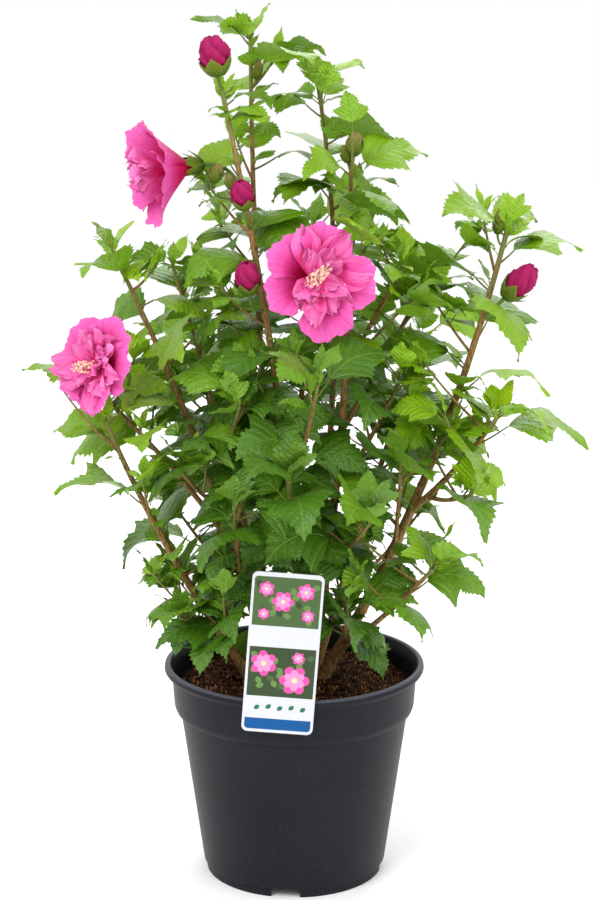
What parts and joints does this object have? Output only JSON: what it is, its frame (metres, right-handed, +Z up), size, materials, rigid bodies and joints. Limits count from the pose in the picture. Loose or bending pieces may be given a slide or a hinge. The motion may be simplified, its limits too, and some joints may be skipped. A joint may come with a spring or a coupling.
{
  "type": "hibiscus shrub in a nursery pot",
  "caption": "Flowering hibiscus shrub with double pink blooms and toothed leaves, its stems rising from a short stock in a black nursery pot of compost, with a plain picture label.",
  "frame": {"origin": "centre of the flat underside of the pot, on the surface that it stands on", "axes": "+Z up, -Y the front, which the label and the front flower face, +X to the right seen from the front"},
  "size_m": [0.4677, 0.3943, 0.7448],
  "materials": {
    "pot": "charcoal black recycled plastic, satin, with a smoother, slightly shiny rim and faint dust specks",
    "compost": "dark brown, fibrous peat and bark compost, rough, with tan fibres",
    "label": "white printed plastic card, satin, with a plain printed panel and a blue foot band",
    "bark": "tan-brown young bark with fine lengthwise cracks and small pale pores",
    "leaf": "green leaf with paler veins, satin, young leaves a brighter lime green",
    "petal": "ruffled magenta pink petals, deep crimson at the throat, cream stamens",
    "bud": "furled deep magenta petals in an olive green calyx"
  },
  "bodies": {
    "root": {"pot": "pot", "compost": "compost", "label": "label", "stock": "bark", "stem_left_low": "bark", "stem_left": "bark", "stem_left_back": "bark", "stem_flowering": "bark", "stem_tall": "bark", "stem_mid_back": "bark", "stem_centre": "bark", "stem_right": "bark", "stem_back_left": "bark", "stem_back": "bark", "stem_back_right": "bark", "bough_left_fork": "bark", "bough_right_fork": "bark", "bough_right_low": "bark", "bough_centre_high": "bark", "bough_centre_fork": "bark", "bloom_high": "petal", "bloom_front": "petal", "bloom_left": "petal", "bloom_back": "petal", "bud_top": "bud", "bud_middle": "bud", "bud_low": "bud", "bud_right": "bud", "bud_centre": "bud", "foliage_left_low": "leaf", "foliage_left": "leaf", "foliage_left_back": "leaf", "foliage_flowering": "leaf", "foliage_tall": "leaf", "foliage_mid_back": "leaf", "foliage_centre": "leaf", "foliage_right": "leaf", "foliage_back_left": "leaf", "foliage_back": "leaf", "foliage_back_right": "leaf", "foliage_left_fork": "leaf", "foliage_right_fork": "leaf", "foliage_right_low": "leaf", "foliage_centre_high": "leaf", "foliage_centre_fork": "leaf", "foliage_low_left": "leaf", "foliage_front_low_left": "leaf", "foliage_front_left": "leaf", "foliage_inner_left": "leaf", "foliage_centre_left": "leaf", "foliage_front_centre": "leaf", "foliage_front_high": "leaf", "foliage_front_right": "leaf", "foliage_centre_right": "leaf", "foliage_inner_right": "leaf", "foliage_front_low_right": "leaf", "foliage_right_tip": "leaf", "foliage_back_low_left": "leaf", "foliage_back_low": "leaf", "foliage_back_low_right": "leaf"}
  },
  "joints": []
}
